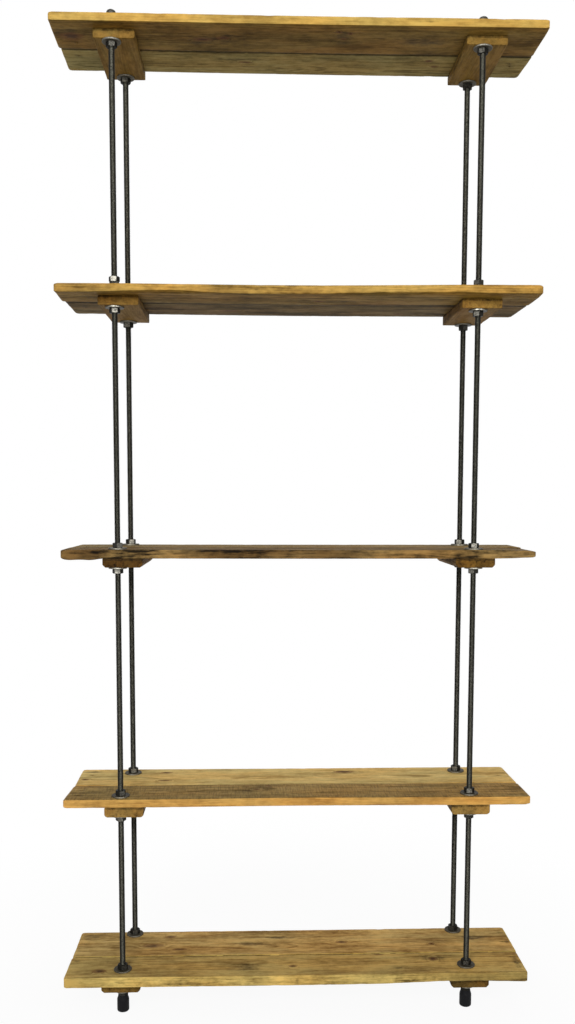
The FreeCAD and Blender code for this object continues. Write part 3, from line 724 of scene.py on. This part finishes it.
def make_washer_blank(edge, hole, points):
    """A penny washer: the press rounds its upper rim by edge, and leaves its other arrises nearly sharp."""
    rim, thickness = size_of(points)
    burr, lead_in, step = 0.2 * MM, 0.35 * MM, 0.25 * MM
    flat = rim - 1.5 * MM
    rounded = [(rim - edge * (1 - math.sin(a)), thickness - edge * (1 - math.cos(a)))
               for a in (math.radians(30 * i) for i in range(3, -1, -1))]
    bm = bmesh.new()
    lathe(bm, [(hole + burr, 0), (flat, 0), (rim - step, 0), (rim, step), *rounded, (flat, thickness),
               (hole + lead_in, thickness), (hole, thickness - lead_in), (hole, burr)], 72)
    return bm


def make_foot_blank(rounding, points):
    """A rubber ferrule: a rounded tread with a raised ring, a bell's slope up to its neck, and a socket."""
    side, height = size_of(points)
    neck, shoulder, socket, sole = 10.25 * MM, 24 * MM, 6 * MM, 5 * MM
    # Underneath, a cup and a ring that stands on the floor, with a groove between it and the tread.
    under = [(0, 0.8 * MM), (5 * MM, 0.8 * MM), (5.6 * MM, 0), (7.4 * MM, 0), (7.8 * MM, 0.6 * MM),
             (8.4 * MM, 0.6 * MM), (8.8 * MM, 0)]
    tread = [(side - rounding * (1 - math.sin(a)), rounding * (1 - math.cos(a)))
             for a in (math.radians(15 * i) for i in range(7))]
    slope = [(neck + (side - neck) * 0.5 * (1 + math.cos(math.pi * t)),
              shoulder + (height - shoulder) * t * 0.93) for t in (i / 8 for i in range(9))]
    lip = [(neck - 0.4 * MM, height - 0.1 * MM), (neck - 1 * MM, height)]
    bm = bmesh.new()
    lathe(bm, under + tread + slope + lip + [(socket, height), (socket, sole), (0, sole)], 64)
    return bm


class SHELVING_OT_rods(bpy.types.Operator):
    """Cut the coarse thread on the four rods"""
    bl_idname = "shelving.rods"
    bl_label = "Threaded Rods"

    STEPS = 16

    def execute(self, context):
        sizes = context.scene.shelving_hardware
        steel = make_steel("plain_steel_studding", context.scene.shelving_finishes.rod_steel,
                           roughness=0.36, tightness=12.0, gain=2.5, spread=0.15, dirt=0.9)
        low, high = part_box("rod_front_left")
        crest = (high.x - low.x) / 2
        pitch = sizes.thread_pitch
        root = crest - sizes.thread_depth
        # The thread's crest is an eighth of the pitch wide, and its root is sharp.
        bm = bmesh.new()
        profile = [(crest, 0), (crest, pitch / 8), (root, pitch * 9 / 16), (crest, pitch)]
        verts = [bm.verts.new((radius, 0, height)) for radius, height in profile]
        edges = [bm.edges.new(pair) for pair in zip(verts, verts[1:])]
        bmesh.ops.spin(bm, geom=verts + edges, cent=(0, 0, 0), axis=(0, 0, 1), angle=2 * math.pi,
                       dvec=(0, 0, pitch / self.STEPS), steps=self.STEPS, use_merge=False,
                       use_duplicate=False)
        # One turn is doubled until the thread is longer than the rod, which is then cut out of it.
        length = high.z - low.z
        turns = 1
        while turns * pitch < length + 3 * pitch:
            copy = bmesh.ops.duplicate(bm, geom=bm.verts[:] + bm.edges[:] + bm.faces[:])
            moved = [item for item in copy["geom"] if isinstance(item, bmesh.types.BMVert)]
            bmesh.ops.translate(bm, verts=moved, vec=(0, 0, turns * pitch))
            turns *= 2
        start = 1.5 * pitch
        for height, outward in ((start, -1), (start + length, 1)):
            bmesh.ops.bisect_plane(
                bm, geom=bm.verts[:] + bm.edges[:] + bm.faces[:], dist=1e-7, plane_co=(0, 0, height),
                plane_no=(0, 0, outward), clear_outer=True)
        bmesh.ops.remove_doubles(bm, verts=bm.verts[:], dist=5e-6)
        bmesh.ops.holes_fill(bm, edges=[edge for edge in bm.edges if edge.is_boundary], sides=0)
        bmesh.ops.translate(bm, verts=bm.verts[:], vec=(0, 0, low.z - start))
        bmesh.ops.recalc_face_normals(bm, faces=bm.faces[:])
        for (row, side), (x, y) in ROD_AXES.items():
            placed = bm.copy()
            bmesh.ops.translate(placed, verts=placed.verts[:], vec=(x, y, 0))
            rod = new_piece("threaded_rod_%s_%s" % (row, side), placed)
            dress(rod, steel, FIXED_BODY, "rod_%s_%s" % (row, side), sharp_angle=80)
            points = np.array([vert.co for vert in rod.data.vertices])
            out = np.hypot(points[:, 0] - x, points[:, 1] - y)
            paint(rod, "groove", ramp(-out, -crest, crest - root))
        bm.free()
        return {"FINISHED"}


class SHELVING_OT_washers(bpy.types.Operator):
    """Stamp the penny washers above and below every shelf"""
    bl_idname = "shelving.washers"
    bl_label = "Washers"

    def execute(self, context):
        zinc = make_steel("zinc_plated_washers", context.scene.shelving_finishes.washer_steel,
                          roughness=0.3, tightness=7.0, gain=1.6, spread=0.52, dirt=1.3, film="#5A5344")
        blank = partial(make_washer_blank, context.scene.shelving_hardware.washer_edge,
                        context.scene.shelving_boards.rod_hole / 2)
        for number in SHELVES:
            node = "shelf_%d_washers" % number
            washers = new_piece("penny_washers_shelf_%d" % number, put_in_place(node, blank))
            dress(washers, zinc, body_of_shelf(number), node)
            # Old oil has dried on the flat faces and all over the upper washers. The lower ones' rims are
            # left bare and lighter, a painted highlight.
            points = np.array([vert.co for vert in washers.data.vertices])
            out = np.min([np.hypot(*(points[:, :2] - axis).T) for axis in ROD_AXES.values()], axis=0)
            rim = size_of(solids_of(node)[-1])[0]
            flat = ramp(-out, 0.6 * MM - rim, 0.9 * MM)
            on_top = points[:, 2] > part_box("shelf_%d_front_plank" % number)[0].z
            paint(washers, "groove", np.where(on_top, 0.6 + 0.4 * flat, 0.6 * flat))
        return {"FINISHED"}


class SHELVING_OT_nuts(bpy.types.Operator):
    """Turn and mill the hex nuts"""
    bl_idname = "shelving.nuts"
    bl_label = "Hex Nuts"

    def execute(self, context):
        steel = make_steel("plain_steel_nuts", context.scene.shelving_finishes.nut_steel,
                           roughness=0.3, tightness=14.0, gain=3.5, spread=0.16)
        nodes = ["shelf_1_nuts", "shelf_5_nuts"]
        nodes += ["shelf_%d_nut_%s_%s_%s" % (number, level, row, side) for number in ADJUSTABLE
                  for level in ("upper", "lower") for row, side in CORNERS]
        blank = partial(make_nut_blank, context.scene.shelving_hardware)
        for node in nodes:
            nuts = new_piece("hex_" + node, put_in_place(node, blank))
            body = node if node in frame["bodies"] else FIXED_BODY
            dress(nuts, steel, body, node, sharp_angle=20)
        return {"FINISHED"}


class SHELVING_OT_cap_nuts(bpy.types.Operator):
    """Turn and mill the domed cap nuts on the highest shelf"""
    bl_idname = "shelving.cap_nuts"
    bl_label = "Cap Nuts"

    def execute(self, context):
        steel = make_steel("plain_steel_cap_nuts", context.scene.shelving_finishes.nut_steel,
                           roughness=0.26, tightness=14.0, gain=3.5, spread=0.5)
        blank = partial(make_cap_nut_blank, context.scene.shelving_hardware)
        nuts = new_piece("domed_cap_nuts", put_in_place("cap_nuts", blank))
        dress(nuts, steel, FIXED_BODY, "cap_nuts", sharp_angle=20)
        return {"FINISHED"}


class SHELVING_OT_feet(bpy.types.Operator):
    """Mould the rubber feet"""
    bl_idname = "shelving.feet"
    bl_label = "Rubber Feet"

    def execute(self, context):
        blank = partial(make_foot_blank, context.scene.shelving_hardware.foot_rounding)
        feet = new_piece("rubber_feet", put_in_place("feet", blank))
        dress(feet, make_rubber(context.scene.shelving_finishes.rubber), FIXED_BODY, "feet")
        return {"FINISHED"}


# ---------------------------------------------------------------------------------------------------
# Boards
# ---------------------------------------------------------------------------------------------------

# How far from an edge or an end of a board each kind of wear reaches.
UNEVEN_REACH = 8 * MM
CHIP_REACH = 3 * MM
WANE_REACH = 12 * MM
SAW_REACH = 30 * MM
THIN_REACH = 70 * MM
BLUNT_REACH = 6 * MM
# Points this near to a plank's front carry the wear of its front edge.
FRONT_REACH = 3 * MM
# A point starts to belong to a side, or to the under face, when its normal points that way by the first
# of these shares, and belongs to it fully when it does so by the second one more.
SIDE_FROM, SIDE_OVER = 0.35, 0.45
UNDER_FROM, UNDER_OVER = -0.3, 0.5
# How fast a knot or a stain fades outwards, and where across its width a board's worn corners start.
SPOT_FADE = 0.7
CORNER_FROM = 0.88
# Half of the span between a shelf's rods, and the front of what its washers keep flat.
HALF_SPAN = abs(ROD_AXES["front", "left"][0])
FLAT_FROM = ROD_AXES["front", "left"][1] - 20 * MM


def near_spots(points, spots):
    """1 at the middle of the nearest long spot, falling to 0 outside it."""
    value = np.zeros(len(points))
    for x, y, half_length, half_width in spots:
        far = ((points[:, 0] / MM - x) / half_length) ** 2 + ((points[:, 1] / MM - y) / half_width) ** 2
        value = np.maximum(value, np.exp(-far * SPOT_FADE))
    return value


def wave(value, seed, length):
    """Smooth noise along one axis, from -1 to 1, with features of about a length."""
    return noise.noise(Vector((value / length, seed * 7.31, seed * 1.7)))


def cut_grid(bm, low, high, spacing):
    """Divide a blank's faces into a grid, with its own spacing along each axis."""
    for axis in range(3):
        size = high[axis] - low[axis]
        cuts = round(size / spacing[axis]) - 1
        runs = [edge for edge in bm.edges if abs(edge.verts[0].co[axis] - edge.verts[1].co[axis]) > size / 2]
        bmesh.ops.subdivide_edges(bm, edges=runs, cuts=cuts)


def end_shift(across, skew, longer, corner):
    """How far, in millimetres, a board's end stands out at a place across it, from -1 to 1."""
    rounded = max(0.0, (abs(across) - CORNER_FROM) / (1 - CORNER_FROM)) ** 2
    return longer + skew * across - corner * rounded


def weather(bm, low, high, look, seed, along):
    """Wear a sawn blank: uneven edges, chipped arrises, wane, and ends cut out of square."""
    middle = (low + high) / 2
    length_axis, width_axis = (0, 1) if along == "x" else (1, 0)
    half_length = (high[length_axis] - low[length_axis]) / 2
    half_width = (high[width_axis] - low[width_axis]) / 2
    half_thick = (high.z - low.z) / 2
    for vert in bm.verts:
        offset = vert.co - middle
        run, width = offset[length_axis], offset[width_axis]
        edge = 1 if width > 0 else -1
        high_side = 1 if offset.z > 0 else -1
        deep = half_width - abs(width)
        shallow = half_thick - abs(offset.z)
        if deep < UNEVEN_REACH:
            pull = (1 - deep / UNEVEN_REACH) ** 2
            drift = 0.5 * MM * wave(run, seed + edge, 0.11) + 0.22 * MM * wave(run, seed + 3 * edge, 0.021)
            vert.co[width_axis] -= edge * pull * (0.35 * MM + drift)
        if deep < CHIP_REACH and shallow < CHIP_REACH:
            line = seed + 5 * edge + 11 * high_side
            chip = max(0.0, wave(run, line, 0.03) - 0.15) * 1.4 * MM
            chip += max(0.0, wave(run, line + 2, 0.009) - 0.25) * 0.8 * MM
            vert.co[width_axis] -= edge * chip * 0.8
            vert.co.z -= high_side * chip * 0.5
        # Some cleats have their long lower arrises planed off.
        planed = look["planed"] * MM - deep - shallow
        if along == "y" and high_side < 0 and planed > 0:
            vert.co[width_axis] -= edge * planed / 2
            vert.co.z += planed / 2
        # Wane: the lower front arris still follows the tree's own outside.
        if edge < 0 and high_side < 0 and deep < WANE_REACH:
            wane = sum(rise * math.exp(-((vert.co.x / MM - x) / half) ** 4) for x, half, rise in look["wane"])
            share = (1 - deep / WANE_REACH) * (1 - shallow / half_thick)
            rough = 1 + 0.5 * wave(run, seed + 23, 0.035)
            vert.co.z += wane * share * rough * MM
        to_end = half_length - abs(run)
        end, outward = (0, -1) if run < 0 else (1, 1)
        if to_end < SAW_REACH:
            pull = (1 - to_end / SAW_REACH) ** 2
            shift = end_shift(width / half_width, *(look[name][end] for name in ("skew", "longer", "corner")))
            shift += 0.5 * wave(width, seed + 17 * outward, 0.03)
            vert.co[length_axis] += outward * pull * (shift - 0.4) * MM
        if to_end < THIN_REACH:
            vert.co.z -= offset.z / half_thick * look["thinned"][end] * (1 - to_end / THIN_REACH) * MM
        if to_end < BLUNT_REACH and along == "x":
            vert.co.z -= offset.z / half_thick * 1.6 * (1 - to_end / BLUNT_REACH) ** 2 * MM


def bend(bm, low, high, look):
    """Cup a plank in front of its washers, let it sag between its rods, and keep it inside the CAD's box."""
    left_curl, right_curl = look["curl"]
    for vert in bm.verts:
        forward = (FLAT_FROM - vert.co.y) / (FLAT_FROM - low.y)
        if forward > 0 and any(look["curl"]):
            to_right = (vert.co.x - low.x) / (high.x - low.x)
            vert.co.z += forward ** 1.5 * (left_curl + (right_curl - left_curl) * to_right) * MM
        span = vert.co.x / HALF_SPAN
        if abs(span) < 1:
            vert.co.z -= look["sag"] * MM * (1 - span ** 2) ** 2
        for axis in range(2):
            vert.co[axis] = min(max(vert.co[axis], CAD_BOX[0][axis]), CAD_BOX[1][axis])


def drill(piece, holes):
    """Cut round holes down through a board: (x, y, diameter)."""
    bm = bmesh.new()
    heights = [vert.co.z for vert in piece.data.vertices]
    depth = max(heights) - min(heights) + 10 * MM
    middle = (max(heights) + min(heights)) / 2
    for x, y, diameter in holes:
        bmesh.ops.create_cone(bm, cap_ends=True, cap_tris=False, segments=24 if diameter > 6 * MM else 12,
                              radius1=diameter / 2, radius2=diameter / 2, depth=depth,
                              matrix=Matrix.Translation((x, y, middle)))
    tool = new_piece("drill", bm)
    cut = piece.modifiers.new("drill", "BOOLEAN")
    cut.object = tool
    cut.operation = "DIFFERENCE"
    cut.solver = "EXACT"
    graph = bpy.context.evaluated_depsgraph_get()
    blank, bits = piece.data, tool.data
    piece.data = bpy.data.meshes.new_from_object(piece.evaluated_get(graph))
    piece.data.name = piece.name
    piece.modifiers.remove(cut)
    bpy.data.objects.remove(tool)
    for used in (blank, bits):
        bpy.data.meshes.remove(used)


def sawn_faces(normals, along, seam):
    """How freshly sawn each point is, and how much it belongs to the dark under face.

    Planks were sawn afresh all round, and cleats at their ends only. The under face's colour is partly
    painted shade, and a cleat's sides, under its planks, take it as painted shade. seam is the side of a
    plank that
    faces its neighbour: light only reaches its upper arris, so the rest is painted as dark as the under face.
    """
    up = normals[:, 2]
    beneath = ramp(-up, UNDER_FROM, UNDER_OVER)
    if along == "y":
        fresh = ramp(np.abs(normals[:, 1]), SIDE_FROM, SIDE_OVER)
        return fresh, np.maximum(beneath, np.abs(normals[:, 0]))
    fresh = ramp(np.abs(normals[:, :2]).max(1), SIDE_FROM, SIDE_OVER)
    in_seam = normals[:, 1] * seam > 0.3
    return np.where(in_seam, fresh * (up > 0.2), fresh), np.where(in_seam & (up < 0.2), 1.0, beneath)


def shaded_joints(points, normals, low, high, along, seam, grime_and_shadow):
    """Dirt and painted shadow along a plank's lower seam arris; painted shadow along the top of a cleat,
    under its planks, and painted shade on its sides.
    """
    if along == "y":
        return np.where(points[:, 2] > high.z - 4 * MM, 0.8, 0.5 * (np.abs(normals[:, 0]) > 0.5))
    to_seam = high.y - points[:, 1] if seam > 0 else points[:, 1] - low.y
    return 1.2 * (to_seam < grime_and_shadow * MM) * (normals[:, 2] < 0.2) * (np.abs(normals[:, 0]) < 0.5)


def make_board(name, node, number, look, along, seed, sizes, seam=0):
    """A reclaimed board on its CAD node's place, with its finish, wear, knots and holes."""
    look = PLAIN_LOOK | look
    low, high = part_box(node)
    bm = bmesh.new()
    bmesh.ops.create_cube(bm, size=1, matrix=Matrix.Translation((low + high) / 2)
                          @ Matrix.Diagonal((*(high - low), 1)))
    bmesh.ops.bevel(bm, geom=bm.edges[:], offset=sizes.arris, offset_type="OFFSET", segments=2,
                    profile=0.5, affect="EDGES", material=-1)
    cut_grid(bm, low, high, (sizes.grid, sizes.grid, sizes.grid * 0.6))
    weather(bm, low, high, look, seed, along)
    bend(bm, low, high, look)
    bmesh.ops.recalc_face_normals(bm, faces=bm.faces[:])
    piece = new_piece(name, bm)
    holes = [(x, y, sizes.rod_hole) for x, y in ROD_AXES.values()
             if low.x < x < high.x and low.y < y < high.y]
    holes += [(x * MM, y * MM, sizes.nail_hole) for x, y in look["nails"]]
    drill(piece, holes)
    dress(piece, make_softwood("pine_" + name, look, (low + high) / 2, along), body_of_shelf(number),
          node, sharp_angle=40)

    vertices = piece.data.vertices
    points, normals = np.zeros((2, len(vertices), 3), np.float32)
    vertices.foreach_get("co", points.ravel())
    vertices.foreach_get("normal", normals.ravel())
    fresh, beneath = sawn_faces(normals, along, seam)
    paint(piece, "fresh", fresh)
    paint(piece, "beneath", beneath)
    paint(piece, "knot", near_spots(points, look["knots"]))
    at_front = points[:, 1] < low.y + FRONT_REACH
    shade = sum((amount * np.exp(-((points[:, 0] / MM - x) / half_length) ** 4)
                 for x, half_length, amount in look["shades"]), np.zeros(len(vertices)))
    paint(piece, "shade", np.clip(shade, 0, 1) * at_front)
    # Each nail has left a rust mark of 18 by 10 mm.
    stains = near_spots(points, [*look["marks"], *((x, y, 9, 5) for x, y in look["nails"])])
    flecks = near_spots(points[:, (0, 2)] - (0, (low.z + high.z) / 2), look["flecks"])
    # The joints' marks are painted shadow and shade, with dirt along a plank's seam.
    joints = shaded_joints(points, normals, low, high, along, seam, look["grime_and_shadow"])
    paint(piece, "mark", np.maximum(np.where(at_front, 0.6 * flecks, 0.9 * stains), joints))


class SHELVING_OT_planks(bpy.types.Operator):
    """Saw, wear and drill the two planks of every shelf"""
    bl_idname = "shelving.planks"
    bl_label = "Planks"

    def execute(self, context):
        for number in SHELVES:
            for row in ROWS:
                seed = number * 3 + ROWS.index(row)
                make_board("plank_shelf_%d_%s" % (number, row), "shelf_%d_%s_plank" % (number, row), number,
                           PLANKS[number, row], "x", seed, context.scene.shelving_boards,
                           seam=1 if row == "front" else -1)
        return {"FINISHED"}


class SHELVING_OT_cleats(bpy.types.Operator):
    """Saw, wear and drill the two cleats under every shelf"""
    bl_idname = "shelving.cleats"
    bl_label = "Cleats"

    def execute(self, context):
        for number in SHELVES:
            for side in SIDES:
                seed = 40 + number * 3 + SIDES.index(side)
                look = CLEATS[number] | {"shift": 0.13 * seed}
                make_board("cleat_shelf_%d_%s" % (number, side), "shelf_%d_%s_cleat" % (number, side),
                           number, look, "y", seed, context.scene.shelving_boards)
        return {"FINISHED"}


# ---------------------------------------------------------------------------------------------------
# Stage
# ---------------------------------------------------------------------------------------------------

def add_lamp(name, power, size, place, target):
    """A round area lamp that faces a target."""
    lamp = bpy.data.lights.new(name, "AREA")
    lamp.energy = power
    lamp.shape = "DISK"
    lamp.size = size
    holder = bpy.data.objects.new(name, lamp)
    holder.location = place
    holder.rotation_euler = (Vector(target) - Vector(place)).to_track_quat("-Z", "Y").to_euler()
    bpy.context.scene.collection.objects.link(holder)


class SHELVING_OT_stage(bpy.types.Operator):
    """Set the floor, the lamps, the world and the camera"""
    bl_idname = "shelving.stage"
    bl_label = "Stage"

    FLOOR_RADIUS = 40.0
    WORLD_LIGHT = 0.34

    def execute(self, context):
        scene = context.scene
        bm = bmesh.new()
        bmesh.ops.create_circle(bm, cap_ends=True, segments=64, radius=self.FLOOR_RADIUS)
        floor = new_piece("floor", bm)
        floor.data.materials.append(make_floor_paint(
            scene.shelving_finishes.floor, haze=0.94, clear_from=0.3, clear_to=1.3))

        world = bpy.data.worlds.new("soft_white")
        world.use_nodes = True
        world.node_tree.nodes.clear()
        add = partial(add_node, world.node_tree)
        shed = add("Background", {"Color": (1, 1, 1, 1), "Strength": self.WORLD_LIGHT})
        seen = add("Background", {"Color": (1, 1, 1, 1), "Strength": 1.0})
        mixed = add("MixShader", {0: white_to_the_eye(add), 1: shed, 2: seen})
        add("OutputWorld", {"Surface": mixed})
        scene.world = world
        scene.view_settings.view_transform = "Standard"

        middle = (0, 0, 1.0)
        add_lamp("key", power=75, size=1.4, place=(-1.2, -3.2, 2.4), target=middle)
        add_lamp("fill", power=35, size=1.8, place=(1.9, -3.0, 2.2), target=middle)
        add_lamp("top", power=40, size=2.0, place=(0.3, 0.8, 4.2), target=middle)

        # The camera stands close in front, a little left of the middle and above the third shelf.
        camera = bpy.data.cameras.new("camera")
        camera.sensor_width = 36
        camera.lens = 35.16
        camera.shift_y = 0.0687
        holder = bpy.data.objects.new("camera", camera)
        holder.location = (-0.0924, -2.0991, 1.0801)
        holder.rotation_euler = (math.radians(85.003), math.radians(-0.14), math.radians(-1.987))
        scene.collection.objects.link(holder)
        scene.camera = holder
        return {"FINISHED"}


class SHELVING_PT_panel(bpy.types.Panel):
    """Lists the sizes, the finishes and the pieces that can be made"""
    bl_idname = "SHELVING_PT_panel"
    bl_label = "Shelving Unit"
    bl_space_type = "VIEW_3D"
    bl_region_type = "UI"
    bl_category = "Shelving"

    def draw(self, context):
        for group in SETTINGS:
            settings = getattr(context.scene, group)
            box = self.layout.box()
            for name in settings.__annotations__:
                box.prop(settings, name)
        for operator in OPERATORS:
            self.layout.operator(operator.bl_idname)


OPERATORS = (SHELVING_OT_rods, SHELVING_OT_washers, SHELVING_OT_nuts, SHELVING_OT_cap_nuts, SHELVING_OT_feet,
             SHELVING_OT_planks, SHELVING_OT_cleats, SHELVING_OT_stage)
SETTINGS = {"shelving_hardware": HardwareSizes, "shelving_boards": BoardSizes, "shelving_finishes": Finishes}


def register():
    for name, group in SETTINGS.items():
        bpy.utils.register_class(group)
        setattr(bpy.types.Scene, name, bpy.props.PointerProperty(type=group))
    for cls in (*OPERATORS, SHELVING_PT_panel):
        bpy.utils.register_class(cls)


def unregister():
    for cls in (SHELVING_PT_panel, *reversed(OPERATORS)):
        bpy.utils.unregister_class(cls)
    for name, group in SETTINGS.items():
        delattr(bpy.types.Scene, name)
        bpy.utils.unregister_class(group)


def main():
    register()
    for operator in OPERATORS:
        group, name = operator.bl_idname.split(".")
        getattr(getattr(bpy.ops, group), name)()


if __name__ == "__main__":
    main()
